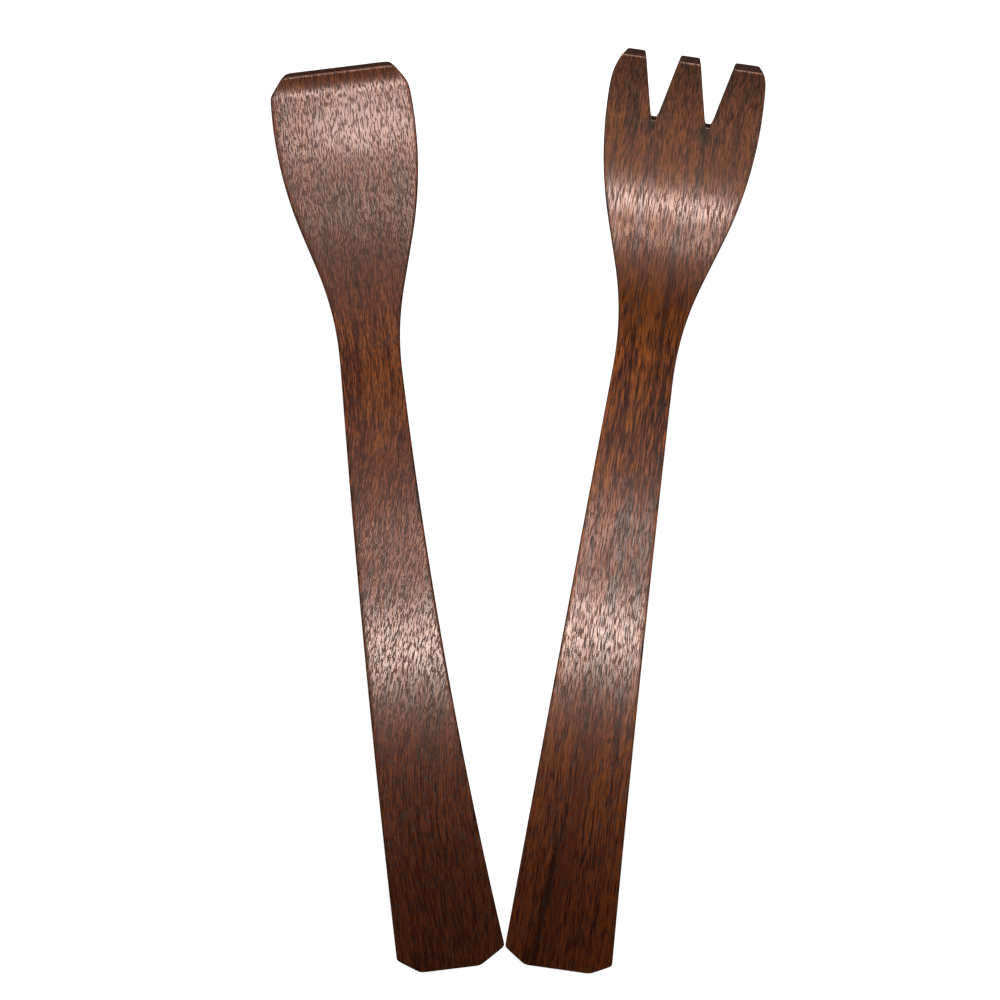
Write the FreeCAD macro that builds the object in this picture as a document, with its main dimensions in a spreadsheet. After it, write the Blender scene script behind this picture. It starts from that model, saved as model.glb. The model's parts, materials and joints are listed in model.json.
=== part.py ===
"""A pair of wooden salad servers: a square-ended paddle and a three-tined fork.

Each server is one strip of hardwood with a long arched handle and a hollowed
head, sawn to its outline and rounded along its edges.  Both lie on their backs,
on the butt's lower edge and the underside of the hollow, side by side in a V.

Millimetres, +Z up, heads towards +Y.  The origin is at the middle of the pair's
footprint, on the surface that they lie on.
"""
import FreeCAD, Part
import math
import os

import Sketcher

# Every driving size, under the name that it has in the sheet.  Half-widths are from a
# server's centre line.  Its length starts at the top edge of its butt, and what
# belongs to the head is placed by its distance from the tip.
SIZES = {
    # Side view of the paddle
    "paddle_length": 305.0,
    "paddle_thickness": 5.5,
    "paddle_arch_radius": 385.0,
    "paddle_hollow_radius": 255.0,
    "paddle_hollow_to_tip": 45.5,
    "paddle_bed_rise": 4.3,
    "paddle_curl_to_tip": 9.0,
    "paddle_curl_radius": 27.0,
    # Side view of the fork
    "fork_length": 308.4,
    "fork_thickness": 5.0,
    "fork_arch_radius": 392.0,
    "fork_hollow_radius": 100.0,
    "fork_hollow_to_tip": 58.9,
    # Plan of the paddle, left side
    "paddle_left_butt": 16.1,
    "paddle_left_flat": 8.5,
    "paddle_left_clip": 5.2,
    "paddle_left_bow": 0.75,
    "paddle_left_waist": 10.4,
    "paddle_left_waist_to_tip": 95.0,
    "paddle_left_neck_radius": 100.0,
    "paddle_left_widest": 23.3,
    "paddle_left_widest_to_tip": 18.0,
    "paddle_left_shoulder_radius": 129.5,
    "paddle_left_corner_radius": 2.5,
    "paddle_left_tip_angle": 38.0,
    "paddle_left_tip": 16.9,
    # Plan of the paddle, right side
    "paddle_right_butt": 20.4,
    "paddle_right_flat": 11.3,
    "paddle_right_clip": 5.7,
    "paddle_right_bow": 2.55,
    "paddle_right_waist": 9.9,
    "paddle_right_waist_to_tip": 103.0,
    "paddle_right_neck_radius": 94.0,
    "paddle_right_widest": 24.35,
    "paddle_right_widest_to_tip": 21.0,
    "paddle_right_shoulder_radius": 134.0,
    "paddle_right_corner_radius": 10.5,
    "paddle_right_tip_angle": 36.0,
    "paddle_right_tip": 18.1,
    # Plan of the fork, left side
    "fork_left_butt": 19.3,
    "fork_left_flat": 11.8,
    "fork_left_clip": 5.2,
    "fork_left_bow": 0.3,
    "fork_left_waist": 10.8,
    "fork_left_waist_to_tip": 100.0,
    "fork_left_neck_radius": 100.0,
    "fork_left_widest": 25.4,
    "fork_left_widest_to_tip": 16.4,
    "fork_left_shoulder_radius": 138.0,
    "fork_left_corner_radius": 18.0,
    "fork_left_tip_angle": 36.0,
    "fork_left_tip": 20.8,
    # Plan of the fork, right side
    "fork_right_butt": 17.2,
    "fork_right_flat": 10.0,
    "fork_right_clip": 3.7,
    "fork_right_bow": 0.9,
    "fork_right_waist": 9.5,
    "fork_right_waist_to_tip": 106.4,
    "fork_right_neck_radius": 98.0,
    "fork_right_widest": 26.75,
    "fork_right_widest_to_tip": 18.4,
    "fork_right_shoulder_radius": 127.0,
    "fork_right_corner_radius": 11.5,
    "fork_right_tip_angle": 44.0,
    "fork_right_tip": 22.9,
    # The notches that part the fork's tines
    "notch_depth": 21.5,
    "notch_offset": 9.15,
    "notch_mouth": 12.0,
    "notch_root": 1.9,
    # Finish, and how the two lie together
    "edge_radius": 0.8,
    "saw_margin": 4.0,
    "paddle_lean": 7.0,
    "fork_lean": 8.1,
    "butt_gap": 0.05,
}
# Which way the long sides of each handle bow: a hollow side curves in towards the
# centre line, and the others swell out very slightly.
HOLLOW_SIDES = ("paddle_right", "fork_right")
FIRST, LAST, CENTRE = 1, 2, 3
H_AXIS, V_AXIS = -1, -2
ORIGIN = (-1, 1)


def size(name):
    """The value that the sheet holds under this name."""
    return float(getattr(sheet, name))


def polar(angle, radius=1.0):
    return FreeCAD.Vector(radius * math.cos(angle), radius * math.sin(angle), 0)


def new_sketch(body, name, role):
    """An empty sketch on one of the body's own origin planes."""
    sketch = body.newObject("Sketcher::SketchObject", name)
    plane = next(item for item in body.Origin.OriginFeatures if item.Role == role)
    sketch.AttachmentSupport = [(plane, "")]
    sketch.MapMode = "FlatFace"
    return sketch


def line(sketch, start, end):
    """Adds a line, and returns it with its two ends in the order of travel."""
    index = sketch.addGeometry(Part.LineSegment(start, end), False)
    return index, FIRST, LAST


def arc(sketch, centre, radius, start, end):
    """Adds an arc travelled from one angle to the other, either way round."""
    circle = Part.Circle(centre, FreeCAD.Vector(0, 0, 1), radius)
    curve = Part.ArcOfCircle(circle, min(start, end), max(start, end))
    index = sketch.addGeometry(curve, False)
    return (index, FIRST, LAST) if start < end else (index, LAST, FIRST)


def fix(sketch, kind, *places, to=None, name=None):
    """Adds a constraint, and binds its value to an expression if it has one."""
    if to is None:
        sketch.addConstraint(Sketcher.Constraint(kind, *places))
        return
    index = sketch.addConstraint(Sketcher.Constraint(kind, *places, to[0]))
    sketch.renameConstraint(index, name)
    sketch.setExpression("Constraints." + name, to[1])


def bound(name):
    """A value from the sheet and the expression that keeps to it."""
    return size(name), "sizes." + name


def smooth(sketch, before, after):
    """Joins the end of one curve to the start of the next, in one direction."""
    fix(sketch, "Tangent", before[0], before[2], after[0], after[1])


def corner(sketch, before, after):
    """Joins the end of one curve to the start of the next, at an angle."""
    fix(sketch, "Coincident", before[0], before[2], after[0], after[1])


# ---------------------------------------------------------------- side view

def side_view(body, server):
    """The strip that the server is cut from, seen from its side."""
    sketch = new_sketch(body, server + "_side_view", "YZ_Plane")
    thick = size(server + "_thickness")
    arch = size(server + "_arch_radius")
    hollow = size(server + "_hollow_radius")
    length = size(server + "_length")
    curls = server + "_curl_to_tip" in SIZES

    # The slope at the butt that lets both the butt and the hollow lie on z = 0, as
    # it would be for a very thin strip: near enough for the sketch to solve from.
    hollow_centre = FreeCAD.Vector(length - size(server + "_hollow_to_tip"), hollow + thick, 0)
    square = hollow_centre.x ** 2 - 4 * hollow_centre.y * arch
    slant = 2 * hollow_centre.x * arch
    half_slope = (slant - math.sqrt(slant ** 2 - square * hollow_centre.x ** 2)) / square
    butt_slope = 2 * math.atan(half_slope)
    arch_centre = FreeCAD.Vector((arch + thick) * math.sin(butt_slope),
                                 -arch * math.cos(butt_slope), 0)
    rise = hollow_centre - arch_centre
    neck_slope = math.atan2(rise.x, rise.y)
    if curls:
        bed_slope = math.radians(size(server + "_bed_rise"))
        curl = size(server + "_curl_radius")
        curl_at = length - size(server + "_curl_to_tip")
        bed_from = hollow_centre + polar(bed_slope - math.pi / 2, hollow + thick)
        bed_to = bed_from + polar(bed_slope) * ((curl_at - bed_from.x) / math.cos(bed_slope))
        end_centre = bed_to + polar(bed_slope + math.pi / 2, curl + thick)
        end_radius = curl
    else:
        bed_slope = None
        end_centre = hollow_centre
        end_radius = hollow
    tip_slope = math.asin((length - end_centre.x) / (end_radius + thick))
    down = -math.pi / 2
    up = math.pi / 2
    hollow_end = tip_slope if bed_slope is None else bed_slope

    faces = {}
    for face, offset in (("under", 0.0), ("upper", thick)):
        chain = [
            arc(sketch, arch_centre, arch + offset, up + butt_slope, up - neck_slope),
            arc(sketch, hollow_centre, hollow + thick - offset, down - neck_slope, down + hollow_end),
        ]
        if curls:
            lift = polar(bed_slope + up, offset)
            chain.append(line(sketch, bed_from + lift, bed_to + lift))
            chain.append(arc(sketch, end_centre, curl + thick - offset,
                             down + bed_slope, down + tip_slope))
        for before, after in zip(chain, chain[1:]):
            smooth(sketch, before, after)
        faces[face] = chain
    under, upper = faces["under"], faces["upper"]

    butt_foot = arch_centre + polar(up + butt_slope, arch)
    butt_top = arch_centre + polar(up + butt_slope, arch + thick)
    butt = line(sketch, butt_top, butt_foot)
    tip_foot = end_centre + polar(down + tip_slope, end_radius + thick)
    tip_top = end_centre + polar(down + tip_slope, end_radius)
    tip = line(sketch, tip_foot, tip_top)
    corner(sketch, butt, under[0])
    corner(sketch, under[-1], tip)
    fix(sketch, "Coincident", tip[0], LAST, upper[-1][0], upper[-1][2])
    fix(sketch, "Coincident", butt[0], FIRST, upper[0][0], upper[0][1])

    # Upper and under faces run a thickness apart, and both ends are cut square.
    fix(sketch, "Coincident", upper[0][0], CENTRE, under[0][0], CENTRE)
    fix(sketch, "Coincident", upper[1][0], CENTRE, under[1][0], CENTRE)
    fix(sketch, "PointOnObject", under[0][0], CENTRE, butt[0])
    fix(sketch, "PointOnObject", under[-1][0], CENTRE, tip[0])
    if curls:
        fix(sketch, "Coincident", upper[3][0], CENTRE, under[3][0], CENTRE)
        fix(sketch, "Parallel", upper[2][0], under[2][0])
        fix(sketch, "Angle", under[2][0], name="bed_rise",
            to=(bed_slope, "sizes." + server + "_bed_rise * 1 deg"))
        fix(sketch, "DistanceX", under[3][0], under[3][1], tip[0], FIRST, name="curl_to_tip",
            to=bound(server + "_curl_to_tip"))
        fix(sketch, "Radius", upper[3][0], name="curl_radius", to=bound(server + "_curl_radius"))

    # The butt's foot and the hollow's underside both meet the surface at z = 0.
    fix(sketch, "PointOnObject", butt[0], LAST, H_AXIS)
    fix(sketch, "PointOnObject", butt[0], FIRST, V_AXIS)
    fix(sketch, "Tangent", under[1][0], H_AXIS)
    fix(sketch, "Distance", butt[0], name="thickness", to=bound(server + "_thickness"))
    fix(sketch, "Radius", under[0][0], name="arch_radius", to=bound(server + "_arch_radius"))
    fix(sketch, "Radius", upper[1][0], name="hollow_radius", to=bound(server + "_hollow_radius"))
    fix(sketch, "DistanceX", under[1][0], CENTRE, tip[0], FIRST, name="hollow_to_tip",
        to=bound(server + "_hollow_to_tip"))
    fix(sketch, "DistanceX", *ORIGIN, tip[0], FIRST, name="length", to=bound(server + "_length"))
    return sketch


# --------------------------------------------------------------------- plan

def far_meeting(one, one_radius, other, other_radius, outwards):
    """Where two circles cross, on the side with the larger or smaller x."""
    apart = other - one
    gap = apart.Length
    along = (one_radius ** 2 - other_radius ** 2 + gap ** 2) / (2 * gap)
    aside = math.sqrt(one_radius ** 2 - along ** 2)
    ahead = apart / gap
    across = FreeCAD.Vector(-ahead.y, ahead.x, 0)
    crossings = [one + ahead * along + across * aside, one + ahead * along - across * aside]
    crossings.sort(key=lambda point: point.x)
    return crossings[-1] if outwards else crossings[0]


def long_side(sketch, server, hand):
    """One long side, from past the butt, round the shoulder, to past the tip."""
    edge = server + "_" + hand
    sign = 1 if hand == "right" else -1
    hollow = edge in HOLLOW_SIDES
    length = size(server + "_length")
    margin = size("saw_margin")
    run = length - size(edge + "_waist_to_tip") - size(edge + "_clip")
    taper = run ** 2 / (8 * size(edge + "_bow"))
    neck = size(edge + "_neck_radius")
    shoulder = size(edge + "_shoulder_radius")
    rounding = size(edge + "_corner_radius")
    tip_angle = math.radians(size(edge + "_tip_angle"))

    # All of this is worked out for a right-hand side, and mirrored as it is drawn.
    butt = FreeCAD.Vector(size(edge + "_butt"), size(edge + "_clip"), 0)
    clip_run = size(edge + "_butt") - size(edge + "_flat")
    clip_angle = math.atan2(clip_run, size(edge + "_clip"))
    butt_past = butt - FreeCAD.Vector(math.tan(clip_angle), 1, 0) * (butt.y + margin)
    neck_centre = FreeCAD.Vector(size(edge + "_waist") + neck,
                                 length - size(edge + "_waist_to_tip"), 0)
    shoulder_centre = FreeCAD.Vector(size(edge + "_widest") - shoulder,
                                     length - size(edge + "_widest_to_tip"), 0)
    reach = taper - neck if hollow else taper + neck
    taper_centre = far_meeting(butt, taper, neck_centre, reach, hollow)
    apart = shoulder_centre - neck_centre
    flank = math.atan2(apart.y, apart.x) + math.acos((neck + shoulder) / apart.Length)
    narrowing = math.asin((neck_centre.y - taper_centre.y) / reach)
    if hollow:
        taper_from = math.pi + math.asin((taper_centre.y - butt.y) / taper)
        taper_to = neck_entry = math.pi - narrowing
    else:
        taper_from = math.asin((butt.y - taper_centre.y) / taper)
        taper_to = narrowing
        neck_entry = math.pi + narrowing
    tip_corner = FreeCAD.Vector(size(edge + "_tip"), length, 0)
    normal = polar(tip_angle)
    span = (tip_corner - shoulder_centre).dot(normal) - rounding
    turn = tip_angle - math.acos(span / (shoulder - rounding))
    corner_centre = shoulder_centre + polar(turn, shoulder - rounding)
    corner_end = corner_centre + polar(tip_angle, rounding)
    tip_past = tip_corner + FreeCAD.Vector(-math.tan(tip_angle), 1, 0) * margin

    def place(point):
        return FreeCAD.Vector(sign * point.x, point.y, 0)

    def turned(angle):
        return angle if sign > 0 else math.pi - angle

    def curve(centre, radius, start, end):
        return arc(sketch, place(centre), radius, turned(start), turned(end))

    neck_end = neck_centre + polar(flank, neck)
    shoulder_start = shoulder_centre - polar(flank, shoulder)
    butt_clip = line(sketch, place(butt_past), place(butt))
    taper_arc = curve(taper_centre, taper, taper_from, taper_to)
    neck_arc = curve(neck_centre, neck, neck_entry, flank)
    flank_line = line(sketch, place(neck_end), place(shoulder_start))
    shoulder_arc = curve(shoulder_centre, shoulder, flank - math.pi, turn)
    corner_arc = curve(corner_centre, rounding, turn, tip_angle)
    tip_clip = line(sketch, place(corner_end), place(tip_past))
    tip_point = sketch.addGeometry(Part.Point(place(tip_corner)), True)

    corner(sketch, butt_clip, taper_arc)
    curves = [taper_arc, neck_arc, flank_line, shoulder_arc, corner_arc, tip_clip]
    for before, after in zip(curves, curves[1:]):
        smooth(sketch, before, after)

    def across(item, place_on, name, value, expression):
        """A distance to the centre line, measured to the right on either side."""
        places = (*ORIGIN, item, place_on) if sign * value > 0 else (item, place_on, *ORIGIN)
        fix(sketch, "DistanceX", *places, name=hand + name, to=(abs(value), expression))

    def along(item, place_on, name, to):
        fix(sketch, "DistanceY", *ORIGIN, item, place_on, name=hand + name, to=to)

    cell = "sizes." + edge
    across(butt_clip[0], LAST, "_butt", butt.x, cell + "_butt")
    along(butt_clip[0], LAST, "_clip", bound(edge + "_clip"))
    fix(sketch, "DistanceY", butt_clip[0], FIRST, *ORIGIN, name=hand + "_before_butt",
        to=bound("saw_margin"))
    fix(sketch, "DistanceX", *((butt_clip[0], FIRST, butt_clip[0], LAST) if sign > 0
                               else (butt_clip[0], LAST, butt_clip[0], FIRST)),
        name=hand + "_clip_run",
        to=(butt.x - butt_past.x,
            f"({cell}_butt - {cell}_flat) * ({cell}_clip + sizes.saw_margin) / {cell}_clip"))
    run_length = f"(sizes.{server}_length - {cell}_waist_to_tip - {cell}_clip)"
    fix(sketch, "Radius", taper_arc[0], name=hand + "_taper",
        to=(taper, f"{run_length} * {run_length} / (8 * {cell}_bow)"))
    fix(sketch, "Radius", neck_arc[0], name=hand + "_neck", to=bound(edge + "_neck_radius"))
    across(neck_arc[0], CENTRE, "_waist", neck_centre.x, f"{cell}_waist + {cell}_neck_radius")
    along(neck_arc[0], CENTRE, "_waist_at",
          (neck_centre.y, f"sizes.{server}_length - {cell}_waist_to_tip"))
    fix(sketch, "Radius", shoulder_arc[0], name=hand + "_shoulder",
        to=bound(edge + "_shoulder_radius"))
    across(shoulder_arc[0], CENTRE, "_widest", shoulder_centre.x,
           f"{cell}_shoulder_radius - {cell}_widest")
    along(shoulder_arc[0], CENTRE, "_widest_at",
          (shoulder_centre.y, f"sizes.{server}_length - {cell}_widest_to_tip"))
    fix(sketch, "Radius", corner_arc[0], name=hand + "_corner", to=bound(edge + "_corner_radius"))
    across(tip_point, FIRST, "_tip", tip_corner.x, cell + "_tip")
    along(tip_point, FIRST, "_tip_at", bound(server + "_length"))
    fix(sketch, "PointOnObject", tip_point, FIRST, tip_clip[0])
    # the clip at the tip turns in from the long direction by its angle
    direction = math.pi / 2 + sign * tip_angle
    fix(sketch, "Angle", tip_clip[0], name=hand + "_tip_angle",
        to=(direction, f"90 deg {'+' if sign > 0 else '-'} {cell}_tip_angle * 1 deg"))
    fix(sketch, "DistanceY", tip_point, FIRST, tip_clip[0], LAST, name=hand + "_past_tip",
        to=bound("saw_margin"))
    return butt_clip, tip_clip


def plan_view(body, server):
    """The waste round the outline: a rectangle with the server's plan inside."""
    sketch = new_sketch(body, server + "_plan", "XY_Plane")
    ends = {hand: long_side(sketch, server, hand) for hand in ("left", "right")}
    points = {}
    for hand, (butt_clip, tip_clip) in ends.items():
        points[hand] = (sketch.getPoint(butt_clip[0], FIRST), sketch.getPoint(tip_clip[0], LAST))
    across_butt = line(sketch, points["left"][0], points["right"][0])
    across_tip = line(sketch, points["left"][1], points["right"][1])
    fix(sketch, "Coincident", across_butt[0], FIRST, ends["left"][0][0], FIRST)
    fix(sketch, "Coincident", across_butt[0], LAST, ends["right"][0][0], FIRST)
    fix(sketch, "Coincident", across_tip[0], FIRST, ends["left"][1][0], LAST)
    fix(sketch, "Coincident", across_tip[0], LAST, ends["right"][1][0], LAST)
    waste_frame(sketch, server)
    return sketch


def waste_frame(sketch, server):
    """The rectangle round the waste, clear of the strip on every side."""
    margin = size("saw_margin")
    left = size(server + "_left_widest") + 2 * margin
    right = size(server + "_right_widest") + 2 * margin
    low = 2 * margin
    high = size(server + "_length") + 2 * margin
    corners = [(-left, -low), (right, -low), (right, high), (-left, high)]
    points = [FreeCAD.Vector(x, y, 0) for x, y in corners]
    sides = [line(sketch, a, b) for a, b in zip(points, points[1:] + points[:1])]
    for before, after in zip(sides, sides[1:] + sides[:1]):
        corner(sketch, before, after)
    for index, kind in enumerate(("Horizontal", "Vertical", "Horizontal", "Vertical")):
        fix(sketch, kind, sides[index][0])
    fix(sketch, "DistanceX", sides[0][0], FIRST, *ORIGIN, name="waste_left",
        to=(left, f"sizes.{server}_left_widest + 2 * sizes.saw_margin"))
    fix(sketch, "DistanceX", *ORIGIN, sides[0][0], LAST, name="waste_right",
        to=(right, f"sizes.{server}_right_widest + 2 * sizes.saw_margin"))
    fix(sketch, "DistanceY", sides[0][0], FIRST, *ORIGIN, name="waste_low",
        to=(low, "2 * sizes.saw_margin"))
    fix(sketch, "DistanceY", *ORIGIN, sides[2][0], FIRST, name="waste_high",
        to=(high, f"sizes.{server}_length + 2 * sizes.saw_margin"))


def tine_notches(body):
    """Two straight-sided notches, wide at the tips and narrow at their roots."""
    sketch = new_sketch(body, "fork_notches", "XY_Plane")
    root_at = size("fork_length") - size("notch_depth")
    past = size("saw_margin")
    root = size("notch_root") / 2
    flare = (size("notch_mouth") - size("notch_root")) / 2
    wide = root + flare * (size("notch_depth") + past) / size("notch_depth")
    for hand, sign in (("left", -1), ("right", 1)):
        middle = sign * size("notch_offset")
        outline = [(middle - root, root_at), (middle + root, root_at),
                   (middle + wide, size("fork_length") + past),
                   (middle - wide, size("fork_length") + past)]
        points = [FreeCAD.Vector(x, y, 0) for x, y in outline]
        sides = [line(sketch, a, b) for a, b in zip(points, points[1:] + points[:1])]
        for before, after in zip(sides, sides[1:] + sides[:1]):
            corner(sketch, before, after)
        fix(sketch, "Horizontal", sides[0][0])
        fix(sketch, "Horizontal", sides[2][0])
        fix(sketch, "Equal", sides[1][0], sides[3][0])
        fix(sketch, "Distance", sides[0][0], name=hand + "_root", to=bound("notch_root"))
        fix(sketch, "Distance", sides[2][0], name=hand + "_mouth",
            to=(2 * wide, "sizes.notch_root + (sizes.notch_mouth - sizes.notch_root)"
                          " * (sizes.notch_depth + sizes.saw_margin) / sizes.notch_depth"))
        near_end = FIRST if sign > 0 else LAST
        places = (*ORIGIN, sides[0][0], near_end)
        if sign < 0:
            places = (sides[0][0], near_end, *ORIGIN)
        fix(sketch, "DistanceX", *places, name=hand + "_inner",
            to=(size("notch_offset") - root, "sizes.notch_offset - sizes.notch_root / 2"))
        fix(sketch, "DistanceY", *ORIGIN, sides[0][0], FIRST, name=hand + "_root_at",
            to=(root_at, "sizes.fork_length - sizes.notch_depth"))
        fix(sketch, "DistanceY", *ORIGIN, sides[2][0], FIRST, name=hand + "_past",
            to=(size("fork_length") + past, "sizes.fork_length + sizes.saw_margin"))
    return sketch


# -------------------------------------------------------------------- solids

def cut_through(body, name, sketch):
    """Cuts a sketch's shape right through the body, and makes sure that it did."""
    before = body.Tip.Shape.Volume
    pocket = body.newObject("PartDesign::Pocket", name)
    pocket.Profile = sketch
    pocket.Type = "ThroughAll"
    pocket.SideType = "Symmetric"
    document.recompute()
    if not 0 < pocket.Shape.Volume < before - 1:
        raise RuntimeError(name + " removed no wood")
    return pocket


def make_server(server):
    """One server: the bent strip, sawn to its plan."""
    body = document.addObject("PartDesign::Body", server + "_body")
    body.Label = server + "_server"
    profile = side_view(body, server)
    strip = body.newObject("PartDesign::Pad", server + "_strip")
    strip.Profile = profile
    strip.SideType = "Symmetric"
    strip.setExpression("Length", f"2 * (max(sizes.{server}_left_widest; sizes.{server}_right_widest)"
                                  " + sizes.saw_margin)")
    document.recompute()
    cut_through(body, server + "_sawing", plan_view(body, server))
    return body


def round_edges(body, name):
    """Eases every edge, as sanding does."""
    base = body.Tip
    fillet = body.newObject("PartDesign::Fillet", name)
    fillet.Base = (base, [""])
    fillet.UseAllEdges = True
    fillet.setExpression("Radius", "sizes.edge_radius")
    document.recompute()


def lay_side_by_side(paddle, fork):
    """Puts the two butts corner to corner, heads apart, round the origin."""
    paddle_turn = math.radians(size("paddle_lean"))
    fork_turn = math.radians(size("fork_lean"))
    paddle_corner = (size("paddle_right_butt") * math.cos(paddle_turn)
                     - size("paddle_right_clip") * math.sin(paddle_turn))
    fork_corner = (size("fork_left_butt") * math.cos(fork_turn)
                   - size("fork_left_clip") * math.sin(fork_turn))
    apart = paddle_corner + size("butt_gap") + fork_corner
    upright = FreeCAD.Vector(0, 0, 1)
    for body, turn, place in ((paddle, size("paddle_lean"), 0), (fork, -size("fork_lean"), apart)):
        body.Placement = FreeCAD.Placement(FreeCAD.Vector(place, 0, 0),
                                           FreeCAD.Rotation(upright, turn))
    document.recompute()
    box = paddle.Shape.optimalBoundingBox(False, False)
    box.add(fork.Shape.optimalBoundingBox(False, False))
    for body in (paddle, fork):
        body.Placement.Base -= FreeCAD.Vector(box.Center.x, box.Center.y, 0)
    document.recompute()


def check(bodies):
    """Stops if any object failed, or a server isn't one sound solid."""
    for item in document.Objects:
        if "Invalid" in item.State or "Error" in item.State:
            raise RuntimeError(item.Name + " failed: " + ", ".join(item.State))
    for body in bodies:
        if body.Shape.isNull() or not body.Shape.isValid() or len(body.Shape.Solids) != 1:
            raise RuntimeError(body.Label + " isn't one valid solid")


document = FreeCAD.newDocument("salad_servers")
sheet = document.addObject("Spreadsheet::Sheet", "sizes")
for row, (alias, value) in enumerate(SIZES.items(), start=1):
    sheet.set("A" + str(row), alias)
    sheet.set("B" + str(row), str(value))
    sheet.setAlias("B" + str(row), alias)
document.recompute()

paddle_server = make_server("paddle")
fork_server = make_server("fork")
cut_through(fork_server, "fork_tines", tine_notches(fork_server))
for each in (paddle_server, fork_server):
    round_edges(each, each.Label + "_edges")
lay_side_by_side(paddle_server, fork_server)
check([paddle_server, fork_server])

os.makedirs("parts", exist_ok=True)
for each in (paddle_server, fork_server):
    each.Shape.exportStep("parts/" + each.Label + ".step")
    bounds = each.Shape.BoundBox
    print(each.Label, "volume %.0f mm3" % each.Shape.Volume,
          "box %.1f x %.1f x %.1f mm" % (bounds.XLength, bounds.YLength, bounds.ZLength))
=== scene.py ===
"""The looks of a pair of oiled wooden salad servers: a paddle and a three-tined fork.

Metres, +Z up, heads towards +Y.  Each server is one piece of wood.  Its place, its lean
and its outline are read from the frame, and only its strip's thickness and bends are
named here.
"""
import bmesh
import bpy
import json
import math
from mathutils import Euler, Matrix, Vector, noise
from mathutils.bvhtree import BVHTree


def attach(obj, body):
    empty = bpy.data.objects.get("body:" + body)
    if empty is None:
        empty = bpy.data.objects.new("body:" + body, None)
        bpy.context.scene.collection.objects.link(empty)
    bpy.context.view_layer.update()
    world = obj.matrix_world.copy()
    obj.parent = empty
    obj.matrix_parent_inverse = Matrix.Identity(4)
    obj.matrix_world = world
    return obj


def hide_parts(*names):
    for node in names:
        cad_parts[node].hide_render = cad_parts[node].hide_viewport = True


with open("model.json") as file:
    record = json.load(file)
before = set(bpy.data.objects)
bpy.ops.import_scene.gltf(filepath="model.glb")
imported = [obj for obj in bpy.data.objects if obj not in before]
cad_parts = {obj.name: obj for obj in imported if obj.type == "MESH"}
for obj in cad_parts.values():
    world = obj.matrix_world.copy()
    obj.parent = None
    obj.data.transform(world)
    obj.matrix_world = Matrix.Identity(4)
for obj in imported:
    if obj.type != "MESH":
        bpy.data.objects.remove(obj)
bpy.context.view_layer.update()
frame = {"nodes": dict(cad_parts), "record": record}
MM = 0.001
UP = Vector((0, 0, 1))
WHITE = (1, 1, 1, 1)


# ---------------------------------------------------------------- paddle server
# The paddle is one strip of dark reddish hardwood: an arched handle, a narrow neck
# and a flat, square-ended head that curls up at its end.  It is sawn to its outline,
# its edges are eased by sanding, and it is finished with oil.

PADDLE_BENDS = {
    "length": 305.0, "thickness": 5.5, "arch_radius": 385.0, "hollow_radius": 255.0,
    "hollow_to_tip": 45.5, "bed_rise": 4.3, "curl_to_tip": 9.0, "curl_radius": 27.0,
}
PADDLE_COLUMNS = 10
# Where the grid's rows change their spacing: by the butt, and by the curl at the tip.
BUTT_MARKS = (0, 3, 8)
BUTT_SPACINGS = (1.0, 0.5)
HANDLE_SPACING = 3.5
CURL_ZONE = 20
CURL_SPACING = 1.2
ARRIS = 0.55
ARRIS_ANGLE = math.radians(60)
# Sanding by hand leaves the faces this uneven, over patches of this size.
HAND_WORK = 0.04
PATCH_ACROSS = 13
PATCH_ALONG = 29
# Rays find the outline this far inside the strip's ends and faces, and look this far
# to either side.  Places are found to within the tolerance.
SKIN = 1.0
REACH = 60.0
TOLERANCE = 0.01


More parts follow.
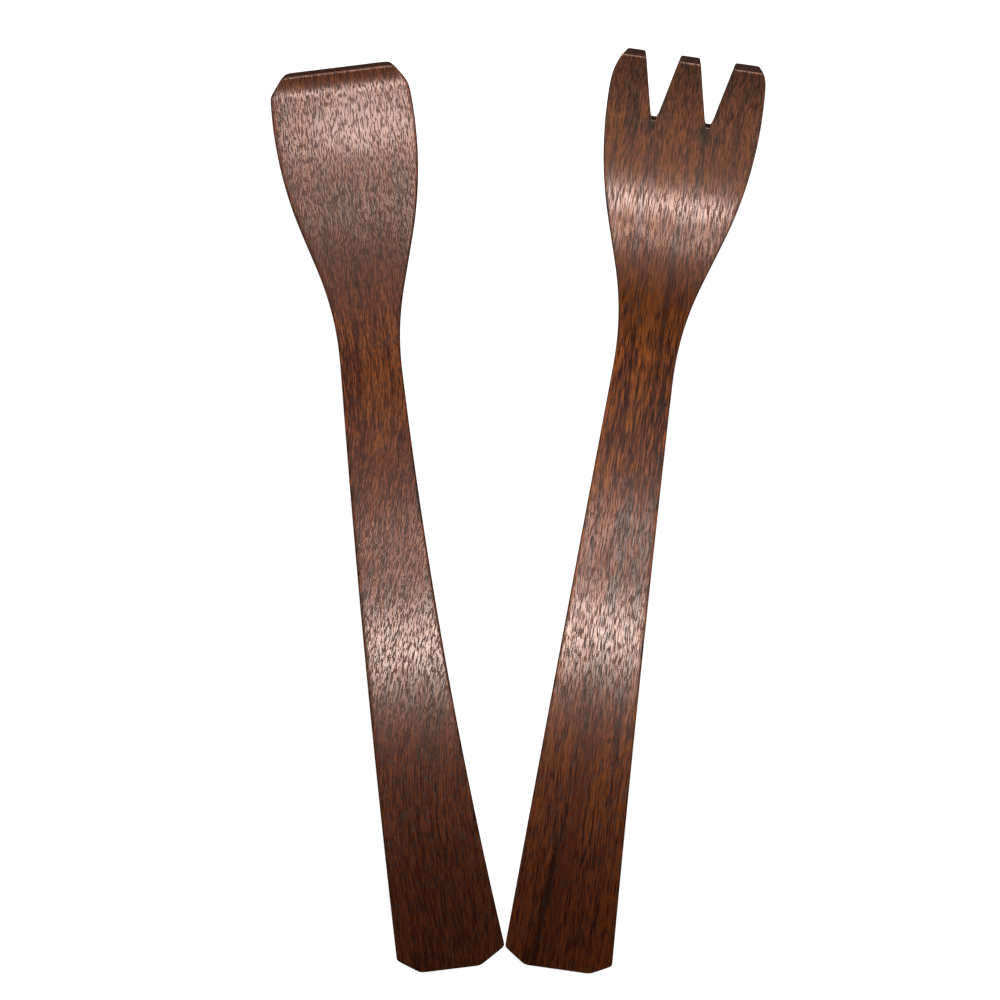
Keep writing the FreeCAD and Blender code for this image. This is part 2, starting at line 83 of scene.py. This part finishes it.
class Strip:
    """The bent strip that a server is sawn from, in mm, where the frame has it."""

    def __init__(self, node, butt_mount, bends):
        mount = next(item for item in frame["record"]["mounts"] if item["name"] == butt_mount)
        facing = Vector(mount["axis"])
        self.along = Vector((-facing.x, -facing.y, 0)).normalized()
        self.across = self.along.cross(UP)
        self.lean = math.atan2(-self.along.x, self.along.y)
        self.thickness = bends["thickness"]
        self.length = bends["length"]
        slope = math.asin(-facing.z)
        half = self.thickness / 2
        self.start = (half * math.sin(slope), half * math.cos(slope), slope)
        self.butt = Vector(mount["pos_m"]) / MM - self.along * self.start[0] - UP * self.start[1]
        self.bends = self.bent(bends, slope)
        self.run = sum(length for length, curvature in self.bends)
        mesh = frame["nodes"][node].data
        corners = [vert.co / MM for vert in mesh.vertices]
        self.solid = BVHTree.FromPolygons(corners, [face.vertices[:] for face in mesh.polygons])

    def bent(self, bends, butt_slope):
        """The lengths and curvatures of the strip's bends, from its butt to its tip."""
        thick = self.thickness
        arch = bends["arch_radius"]
        hollow = bends["hollow_radius"]
        hollow_at = self.length - bends["hollow_to_tip"]
        arch_at = (arch + thick) * math.sin(butt_slope)
        neck_slope = math.atan2(hollow_at - arch_at, hollow + thick + arch * math.cos(butt_slope))
        arched = arch + thick / 2
        hollowed = hollow + thick / 2
        if "curl_radius" not in bends:
            tip_slope = math.asin(bends["hollow_to_tip"] / (hollow + thick))
            return [(arched * (butt_slope + neck_slope), -1 / arched),
                    (hollowed * (neck_slope + tip_slope), 1 / hollowed)]
        rise = math.radians(bends["bed_rise"])
        curl = bends["curl_radius"]
        curled = curl + thick / 2
        bed = hollow_at + (hollow + thick) * math.sin(rise)
        bed_end = self.length - bends["curl_to_tip"]
        tip_slope = math.asin(bends["curl_to_tip"] / (curl + thick) + math.sin(rise))
        return [(arched * (butt_slope + neck_slope), -1 / arched),
                (hollowed * (neck_slope + rise), 1 / hollowed),
                ((bed_end - bed) / math.cos(rise), 0.0),
                (curled * (tip_slope - rise), 1 / curled)]

    def at(self, travel):
        """Distance from the butt, height and slope of the strip's middle, that far along."""
        y, z, slope = self.start
        for length, curvature in self.bends:
            step = min(travel, length)
            turn = step * curvature
            chord = 2 * math.sin(turn / 2) / curvature if curvature else step
            y += chord * math.cos(slope + turn / 2)
            z += chord * math.sin(slope + turn / 2)
            slope += turn
            travel -= step
            if travel <= 0:
                break
        return y, z, slope

    def travel_to(self, distance):
        """How far along the strip its middle is that far from the butt."""
        low, high = 0.0, self.run
        while high - low > TOLERANCE:
            middle = (low + high) / 2
            low, high = (middle, high) if self.at(middle)[0] < distance else (low, middle)
        return low

    def place(self, x, y, z):
        return self.butt + self.across * x + self.along * y + UP * z

    def sides(self, distance):
        """Where the outline crosses a line across the server, from left to right."""
        low, high = SKIN, self.length - SKIN
        if not low <= distance <= high:
            edge = min(max(distance, low), high)
            inside = edge + math.copysign(SKIN, self.length / 2 - edge)
            return [near + (near - far) * (distance - edge) / (edge - inside)
                    for near, far in zip(self.sides(edge), self.sides(inside))]
        travel = self.travel_to(distance)
        y, z, slope = self.at(travel)
        towards_end = 1 if distance < self.length / 2 else -1
        z += towards_end * (self.thickness / 2 - SKIN)
        found = []
        reached = -REACH
        while True:
            hit = self.solid.ray_cast(self.place(reached, distance, z), self.across, 2 * REACH)[0]
            if hit is None:
                return found
            found.append((hit - self.butt).dot(self.across))
            reached = found[-1] + TOLERANCE


def rows_between(marks, spacings):
    """Lengths along a strip, close together where the shape is small."""
    rows = []
    for start, end, spacing in zip(marks, marks[1:], spacings):
        count = max(1, round((end - start) / spacing))
        rows += [start + (end - start) * step / count for step in range(count)]
    return rows + [marks[-1]]


def carved(name, strip, rows, columns, cut_out=None):
    """A server's mesh: a grid laid on the strip, thickened, its edges eased."""
    bm = bmesh.new()
    column_of = bm.verts.layers.int.new("column")
    row_of = bm.verts.layers.int.new("row")
    bmesh.ops.create_grid(bm, x_segments=len(columns(0)) - 1, y_segments=len(rows) - 1, size=1)
    for vert in bm.verts:
        vert[column_of] = round((vert.co.x + 1) / 2 * (len(columns(0)) - 1))
        vert[row_of] = round((vert.co.y + 1) / 2 * (len(rows) - 1))
    if cut_out:
        gaps = [face for face in bm.faces
                if cut_out(min(vert[column_of] for vert in face.verts),
                           min(vert[row_of] for vert in face.verts))]
        bmesh.ops.delete(bm, geom=gaps, context="FACES")
    under = bm.verts[:]
    grown = bmesh.ops.extrude_face_region(bm, geom=bm.faces[:])
    upper = [item for item in grown["geom"] if isinstance(item, bmesh.types.BMVert)]
    for verts, offset in ((under, -strip.thickness / 2), (upper, strip.thickness / 2)):
        lines = {}
        for row, travel in enumerate(rows):
            y, z, slope = strip.at(travel)
            y -= offset * math.sin(slope)
            z += offset * math.cos(slope)
            lines[row] = (y, z, slope, columns(y))
        for vert in verts:
            y, z, slope, xs = lines[vert[row_of]]
            x = xs[vert[column_of]]
            patch = Vector((x / PATCH_ACROSS, y / PATCH_ALONG, offset + strip.length))
            uneven = HAND_WORK * abs(noise.noise(patch))
            vert.co = strip.place(x, y - uneven * math.sin(slope), z + uneven * math.cos(slope)) * MM
    bmesh.ops.recalc_face_normals(bm, faces=bm.faces[:])
    arrises = [edge for edge in bm.edges
               if edge.is_manifold and edge.calc_face_angle() > ARRIS_ANGLE]
    bmesh.ops.bevel(bm, geom=arrises, affect="EDGES", offset=ARRIS * MM, segments=2, profile=0.5,
                    material=-1, clamp_overlap=True)
    mesh = bpy.data.meshes.new(name)
    bm.to_mesh(mesh)
    bm.free()
    mesh.polygons.foreach_set("use_smooth", [True] * len(mesh.polygons))
    piece = bpy.data.objects.new(name, mesh)
    bpy.context.scene.collection.objects.link(piece)
    rounding = piece.modifiers.new("eased", "SUBSURF")
    rounding.levels = rounding.render_levels = 2
    return piece


paddle_strip = Strip("paddle_server", "paddle_butt", PADDLE_BENDS)
paddle_rows = rows_between([*BUTT_MARKS, paddle_strip.run - CURL_ZONE, paddle_strip.run],
                           [*BUTT_SPACINGS, HANDLE_SPACING, CURL_SPACING])


def paddle_columns(distance):
    left, right = paddle_strip.sides(distance)
    return [left + (right - left) * step / PADDLE_COLUMNS for step in range(PADDLE_COLUMNS + 1)]


paddle = carved("paddle", paddle_strip, paddle_rows, paddle_columns)
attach(paddle, "paddle")
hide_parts("paddle_server")


def linear(hex_colour):
    """An sRGB hex colour as linear RGBA."""
    parts = [int(hex_colour[place:place + 2], 16) / 255 for place in (1, 3, 5)]
    return [part / 12.92 if part <= 0.04045 else ((part + 0.055) / 1.055) ** 2.4
            for part in parts] + [1.0]


def add(tree, kind, inputs=None, out=None, **settings):
    """A node with its settings and links; returns the output that it is used for."""
    made = tree.nodes.new("ShaderNode" + kind)
    for setting, value in settings.items():
        setattr(made, setting, value)
    named = {socket.name: socket for socket in reversed(made.inputs) if socket.enabled}
    for socket, value in (inputs or {}).items():
        target = made.inputs[socket] if isinstance(socket, int) else named[socket]
        if isinstance(value, bpy.types.NodeSocket):
            tree.links.new(value, target)
        else:
            target.default_value = value
    return made.outputs[out] if out else next(socket for socket in made.outputs if socket.enabled)


# Oiled hardwood, sanded along the grain: a low, satin gloss that open pores and fibres
# break into short flecks.  Real pores are about 0.2 mm wide; the noise for them is made
# coarser so that they show.  Each size is across, along and through the grain, in mm.
GRAIN = {
    "bands": ((7.0, 260.0, 16.0), 2.0),
    "streaks": ((1.7, 110.0, 8.0), 2.0),
    "fibres": ((0.30, 7.0, 2.0), 1.0),
    "flecks": ((0.34, 2.3, 1.5), 1.0),
    "wear": ((16.0, 24.0, 16.0), 2.0),
}
GRAIN_ROUGHNESS = 0.55
SWAY_FREQUENCY = (0.004, 0.011, 0.01)
TONE_LOW, TONE_HIGH = 0.25, 0.75
# Marks fade from full strength at their heart to nothing at their rim, in radii.
MARK_RIM, MARK_HEART = 1.15, 0.35
THROUGH_THE_WOOD = 1e4
# Distances from the butt, in mm, between which the head is painted paler as a painted sheen and the
# handle is painted darker as painted shade.
HEAD_SHEEN_FROM, HEAD_SHEEN_TO = 225.0, 285.0
# Painted shade towards the butt, where the handle slopes away from the lamps: where it starts, where
# it is full, and how strong.
BUTT_SHADE_FROM, BUTT_SHADE_TO = 95.0, 10.0
BUTT_SHADE_SHARE = 0.62
PORE_LOW, PORE_HIGH = 0.50, 0.60
# Faces turned this far from upright are painted darker: real end grain, and also painted shade on the
# rounded edges and steep tips.
FACE_UPRIGHT, SAWN_AND_SHADED_UPRIGHT = 0.93, 0.72
ROUGHER = {"pores": 0.20, "sawn_and_edge_shade": 0.12, "wear": 0.05, "head_sheen": 0.01}
SHEEN_TINT = "#FFE2D5"


def oiled_wood(name, strip, finish):
    """Wood whose pattern lies along the server, with the marks that its board has, and broad patches
    of painted shade and painted highlight.
    """
    material = bpy.data.materials.new(name)
    material.use_nodes = True
    tree = material.node_tree
    shader = tree.nodes["Principled BSDF"]
    place = add(tree, "TexCoord", out="Object")
    corner = strip.butt.copy()
    corner.rotate(Euler((0, 0, -strip.lean)))
    spot = add(tree, "Mapping", {"Vector": place, "Location": -corner,
                                 "Rotation": (0, 0, -strip.lean), "Scale": (1 / MM, 1 / MM, 1 / MM)})
    axes = tree.nodes.new("ShaderNodeSeparateXYZ")
    tree.links.new(spot, axes.inputs[0])
    from_butt = axes.outputs["Y"]

    # The grain sways, and where the board was cut askew it crosses the handle.
    slow = add(tree, "VectorMath", {0: spot, 1: SWAY_FREQUENCY}, operation="MULTIPLY")
    sway = add(tree, "TexNoise", {"Vector": slow, "Scale": 1.0, "Detail": 1.0})
    sway = add(tree, "MapRange", {"Value": sway, "To Min": -finish["sway"], "To Max": finish["sway"]})
    from_y, to_y = finish["askew_between"]
    drift = add(tree, "MapRange", {"Value": from_butt, "From Min": from_y, "From Max": to_y,
                                   "To Min": 0.0, "To Max": finish["askew"]},
                interpolation_type="SMOOTHSTEP")
    shift = add(tree, "Math", {0: sway, 1: drift}, operation="ADD")
    shift = add(tree, "CombineXYZ", {"X": shift})
    grain = add(tree, "VectorMath", {0: spot, 1: shift}, operation="ADD")

    pattern = {}
    for part, (size, detail) in {**GRAIN, **finish["own_grain"]}.items():
        scaled = add(tree, "VectorMath", {0: grain, 1: [1 / length for length in size]},
                     operation="MULTIPLY")
        pattern[part] = add(tree, "TexNoise", {"Vector": scaled, "Scale": 1.0, "Detail": detail,
                                               "Roughness": GRAIN_ROUGHNESS})

    # Colour: bands and streaks along the board, with finer fibres in them.
    tone = finish["tone"]
    for part in ("bands", "streaks", "fibres"):
        spread = finish[part]
        step = add(tree, "MapRange", {"Value": pattern[part],
                                      "From Min": TONE_LOW, "From Max": TONE_HIGH,
                                      "To Min": -spread, "To Max": spread}, clamp=False)
        tone = add(tree, "Math", {0: step, 1: tone}, operation="ADD")
    ramp = tree.nodes.new("ShaderNodeValToRGB")
    ramp.color_ramp.elements[0].color = linear(finish["dark"])
    ramp.color_ramp.elements[1].color = linear(finish["light"])
    ramp.color_ramp.elements.new(0.5).color = linear(finish["middle"])
    tree.links.new(tone, ramp.inputs[0])
    colour = ramp.outputs[0]

    # Knots, dents, darker streaks and a pale chip, and broad patches of painted shade and painted
    # highlight.
    for mark in finish["marks"]:
        near = add(tree, "Mapping", {"Vector": spot, "Location": (*mark["at"], 0),
                                     "Rotation": (0, 0, math.radians(mark.get("turn", 0))),
                                     "Scale": (*mark["size"], THROUGH_THE_WOOD)},
                   vector_type="TEXTURE")
        away = add(tree, "VectorMath", {0: near}, operation="LENGTH", out="Value")
        ragged = add(tree, "MapRange", {"Value": pattern["fibres"], "To Min": -0.5, "To Max": 0.5})
        away = add(tree, "Math", {0: away, 1: ragged}, operation="ADD")
        share = add(tree, "MapRange", {"Value": away, "From Min": MARK_RIM, "From Max": MARK_HEART,
                                       "To Max": mark["strength"]}, interpolation_type="SMOOTHSTEP")
        colour = add(tree, "Mix", {0: share, 6: colour, 7: linear(mark["colour"])},
                     data_type="RGBA")

    # Painted sheen: the head is painted paler towards its end, and that zone is also made a little
    # duller.
    head_sheen = add(tree, "MapRange", {"Value": from_butt, "From Min": HEAD_SHEEN_FROM, "From Max": HEAD_SHEEN_TO},
              interpolation_type="SMOOTHSTEP")
    share = add(tree, "Math", {0: head_sheen, 1: finish["head_sheen_share"]}, operation="MULTIPLY")
    colour = add(tree, "Mix", {0: share, 6: colour, 7: linear(finish["head_sheen"])},
                 data_type="RGBA", blend_type="ADD")

    # Painted shade: the handle is painted darker towards its butt.
    butt_shade = add(tree, "MapRange", {"Value": from_butt,
                                     "From Min": BUTT_SHADE_FROM, "From Max": BUTT_SHADE_TO,
                                     "To Max": BUTT_SHADE_SHARE}, interpolation_type="SMOOTHSTEP")
    colour = add(tree, "Mix", {0: butt_shade, 6: colour, 7: linear(finish["butt_shade"])},
                 data_type="RGBA")

    # Open pores, which hold oil and dirt: dark, dull and a little sunk.
    pores = add(tree, "MapRange", {"Value": pattern["flecks"],
                                   "From Min": PORE_LOW, "From Max": PORE_HIGH},
                interpolation_type="SMOOTHSTEP")
    share = add(tree, "Math", {0: pores, 1: finish["pores"]}, operation="MULTIPLY")
    colour = add(tree, "Mix", {0: share, 6: colour, 7: linear(finish["pore"])}, data_type="RGBA")

    # Sawn edges and ends drink more oil: darker and duller than the broad faces. The darkening
    # follows how far the surface turns from upright, so the end colour is also painted shade on the
    # rounded edges and the steeper tips.
    normal = add(tree, "TexCoord", out="Normal")
    upright = add(tree, "VectorMath", {0: normal, 1: UP}, operation="DOT_PRODUCT", out="Value")
    upright = add(tree, "Math", {0: upright}, operation="ABSOLUTE")
    sawn_and_edge_shade = add(tree, "MapRange", {"Value": upright,
                                  "From Min": FACE_UPRIGHT, "From Max": SAWN_AND_SHADED_UPRIGHT})
    colour = add(tree, "Mix", {0: sawn_and_edge_shade, 6: colour, 7: linear(finish["end"])}, data_type="RGBA")
    tree.links.new(colour, shader.inputs["Base Color"])

    rough = finish["roughness"]
    sources = {"pores": pores, "sawn_and_edge_shade": sawn_and_edge_shade, "wear": pattern["wear"], "head_sheen": head_sheen}
    for cause, amount in ROUGHER.items():
        part = add(tree, "Math", {0: sources[cause], 1: amount}, operation="MULTIPLY")
        rough = add(tree, "Math", {0: part, 1: rough}, operation="ADD")
    tree.links.new(rough, shader.inputs["Roughness"])
    shader.inputs["Specular Tint"].default_value = linear(SHEEN_TINT)

    relief = add(tree, "Math", {0: pattern["fibres"], 1: pores}, operation="SUBTRACT")
    bump = add(tree, "Bump", {"Height": relief, "Strength": 1.0, "Distance": finish["relief"] * MM})
    tree.links.new(bump, shader.inputs["Normal"])
    return material


PADDLE_FINISH = {
    "dark": "#3A1706", "middle": "#58270F", "light": "#8A4B26", "pore": "#240D04", "end": "#2E1408",
    "head_sheen": "#7E5A48", "butt_shade": "#3C1104", "head_sheen_share": 0.22, "pores": 0.72, "own_grain": {},
    "tone": 0.68, "bands": 0.35, "streaks": 0.45, "fibres": 1.2, "sway": 2.0,
    "askew_between": (45, 200), "askew": -34.0, "roughness": 0.19, "relief": 0.021,
    "marks": (
        {"at": (-21.8, 290), "size": (1.1, 1.3), "colour": "#180802", "strength": 0.8},
        {"at": (9.0, 157), "size": (1.6, 9), "colour": "#1E140A", "strength": 0.6},
        # Painted shade: a broad darker patch over the neck and the lower head.
        {"at": (0, 248), "size": (60, 30), "colour": "#3E1C0A", "strength": 0.5},
        # Painted highlight: a broad paler patch where the head's sheen falls.
        {"at": (4.0, 286), "size": (20, 12), "colour": "#C4A096", "strength": 0.55},
    ),
}
paddle.data.materials.append(oiled_wood("oiled reddish walnut", paddle_strip, PADDLE_FINISH))


# ------------------------------------------------------------------ fork server
# The fork is sawn from a darker, more streaked board.  Its head is hollowed along its
# length, and two straight-sided notches part its three tines.

FORK_BENDS = {
    "length": 308.4, "thickness": 5.0, "arch_radius": 392.0, "hollow_radius": 100.0,
    "hollow_to_tip": 58.9,
}
# Columns of the grid in each tine and notch, from left to right; which are the notches;
# and how far below the notches' roots the columns spread out evenly again.
TINE_COLUMNS = (3, 1, 4, 1, 3)
NOTCHES = (1, 3)
BLEND = 70.0
ROOT_ZONE = 8
ROOT_SPACING = 1.3
TINE_SPACING = 1.1

fork_strip = Strip("fork_server", "fork_butt", FORK_BENDS)
solid_to, notched_from = FORK_BENDS["length"] / 2, FORK_BENDS["length"] - 2 * SKIN
while notched_from - solid_to > TOLERANCE:
    middle = (solid_to + notched_from) / 2
    if len(fork_strip.sides(middle)) == 2:
        solid_to = middle
    else:
        notched_from = middle
root_row_at = fork_strip.travel_to(notched_from)
fork_rows = rows_between([*BUTT_MARKS, root_row_at - ROOT_ZONE, root_row_at, fork_strip.run],
                         [*BUTT_SPACINGS, HANDLE_SPACING, ROOT_SPACING, TINE_SPACING])
root_row = min(range(len(fork_rows)), key=lambda row: abs(fork_rows[row] - root_row_at))


def tine_places(edges):
    """Column places across the tines and notches, from the edges between them."""
    places = [edges[0]]
    for start, end, count in zip(edges, edges[1:], TINE_COLUMNS):
        places += [start + (end - start) * step / count for step in range(1, count + 1)]
    return places


root_edges = fork_strip.sides(notched_from)


def fork_columns(distance):
    edges = fork_strip.sides(distance)
    if len(edges) > 2:
        return tine_places(edges)
    left, right = edges
    root_width = root_edges[-1] - root_edges[0]
    shares = [(place - root_edges[0]) / root_width for place in tine_places(root_edges)]
    nearness = max(0.0, 1 - (notched_from - distance) / BLEND)
    nearness *= nearness * (3 - 2 * nearness)
    evenly = len(shares) - 1
    return [left + (right - left) * (share * nearness + column / evenly * (1 - nearness))
            for column, share in enumerate(shares)]


notch_columns = [sum(TINE_COLUMNS[:notch]) for notch in NOTCHES]
fork = carved("fork", fork_strip, fork_rows, fork_columns,
              cut_out=lambda column, row: column in notch_columns and row >= root_row)
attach(fork, "fork")
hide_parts("fork_server")

FORK_FINISH = {
    "dark": "#240E04", "middle": "#5C2A0F", "light": "#9A5220", "pore": "#180903", "end": "#2A1207",
    "head_sheen": "#8A7366", "butt_shade": "#3C1104", "head_sheen_share": 0.50, "pores": 0.60,
    "own_grain": {"flecks": ((0.30, 4.0, 1.5), 1.0)},
    "tone": 0.74, "bands": 0.45, "streaks": 0.50, "fibres": 1.0, "sway": 1.5,
    "askew_between": (0, 300), "askew": 0.0, "roughness": 0.19, "relief": 0.017,
    "marks": (
        {"at": (-2.2, 40), "size": (3.0, 62), "turn": -3, "colour": "#6E3312", "strength": 0.6},
        {"at": (-7.4, 22), "size": (1.6, 34), "turn": -4, "colour": "#170803", "strength": 0.85},
        {"at": (5.0, 232), "size": (1.8, 48), "turn": -1, "colour": "#1C0D06", "strength": 0.7},
        {"at": (-9.15, 285), "size": (2.2, 4.0), "colour": "#140704", "strength": 0.9},
        {"at": (9.15, 284), "size": (2.4, 5.5), "colour": "#140704", "strength": 0.9},
        # Painted shade: a broad darker patch over the neck and the lower head.
        {"at": (0, 230), "size": (60, 24), "colour": "#341504", "strength": 0.5},
        {"at": (6.0, 79), "size": (0.9, 1.2), "colour": "#120602", "strength": 0.8},
        {"at": (9.3, 74), "size": (0.8, 1.0), "colour": "#120602", "strength": 0.7},
        {"at": (-17.2, 45), "size": (0.6, 0.9), "colour": "#B09070", "strength": 0.7},
    ),
}
fork.data.materials.append(oiled_wood("oiled streaked walnut", fork_strip, FORK_FINISH))


# -------------------------------------------------------------- floor and lights
# White paper on a table.  It glows a little, so that it stays white under lamps that
# are soft enough for the wood's sheen.

FLOOR_SIZE = 4
PAPER_COLOUR = (0.8, 0.8, 0.8, 1)
PAPER_ROUGHNESS = 0.9
PAPER_GLOW = 0.76
STUDIO_GLOW = 0.02
BACKDROP_GLOW = 0.95
LAMP_HEIGHT = 1.5

bm = bmesh.new()
bmesh.ops.create_grid(bm, x_segments=1, y_segments=1, size=FLOOR_SIZE)
floor_mesh = bpy.data.meshes.new("floor")
bm.to_mesh(floor_mesh)
bm.free()
floor = bpy.data.objects.new("floor", floor_mesh)
bpy.context.scene.collection.objects.link(floor)
paper = bpy.data.materials.new("white paper")
paper.use_nodes = True
paper_shader = paper.node_tree.nodes["Principled BSDF"]
paper_shader.inputs["Base Color"].default_value = PAPER_COLOUR
paper_shader.inputs["Roughness"].default_value = PAPER_ROUGHNESS
paper_shader.inputs["Emission Color"].default_value = WHITE
paper_shader.inputs["Emission Strength"].default_value = PAPER_GLOW
floor.visible_glossy = False
floor_mesh.materials.append(paper)

world = bpy.data.worlds.new("studio")
bpy.context.scene.world = world
world.use_nodes = True
backdrop = world.node_tree.nodes["Background"]
seen = add(world.node_tree, "LightPath", out="Is Camera Ray")
backdrop.inputs["Color"].default_value = WHITE
strength = add(world.node_tree, "MapRange", {"Value": seen,
                                             "To Min": STUDIO_GLOW, "To Max": BACKDROP_GLOW})
world.node_tree.links.new(strength, backdrop.inputs["Strength"])


def soft_light(name, place, width, depth, watts, aim=None, turn=0):
    lamp = bpy.data.lights.new(name, "AREA")
    lamp.shape = "RECTANGLE"
    lamp.size = width
    lamp.size_y = depth
    lamp.energy = watts
    light = bpy.data.objects.new(name, lamp)
    light.location = place
    light.rotation_euler = (0, 0, math.radians(turn))
    if aim:
        light.rotation_euler = (Vector(aim) - Vector(place)).to_track_quat("-Z", "Y").to_euler()
    bpy.context.scene.collection.objects.link(light)


soft_light("main softbox", (0.0, -0.10, LAMP_HEIGHT), 0.22, 0.10, 6.8, turn=32)
soft_light("second softbox", (0.05, 0.215, LAMP_HEIGHT), 0.26, 0.12, 2.1)
soft_light("ceiling glow", (0.0, 0.50, LAMP_HEIGHT), 1.0, 0.4, 1.1)
soft_light("head fill", (0, 1.05, 0.40), 0.9, 0.3, 11, aim=(0, 0.02, 0))

VIEW_CENTRE = (-0.0058, 0.0042)
VIEW_WIDTH = 0.3345
VIEW_HEIGHT = 2.0
MIDDLE_HEIGHT = 0.008
SENSOR_WIDTH = 36
camera_data = bpy.data.cameras.new("camera")
camera_data.sensor_width = SENSOR_WIDTH
camera_data.lens = SENSOR_WIDTH * (VIEW_HEIGHT - MIDDLE_HEIGHT) / VIEW_WIDTH
camera = bpy.data.objects.new("camera", camera_data)
camera.location = (*VIEW_CENTRE, VIEW_HEIGHT)
bpy.context.scene.collection.objects.link(camera)
bpy.context.scene.camera = camera
bpy.context.scene.view_settings.view_transform = "Standard"
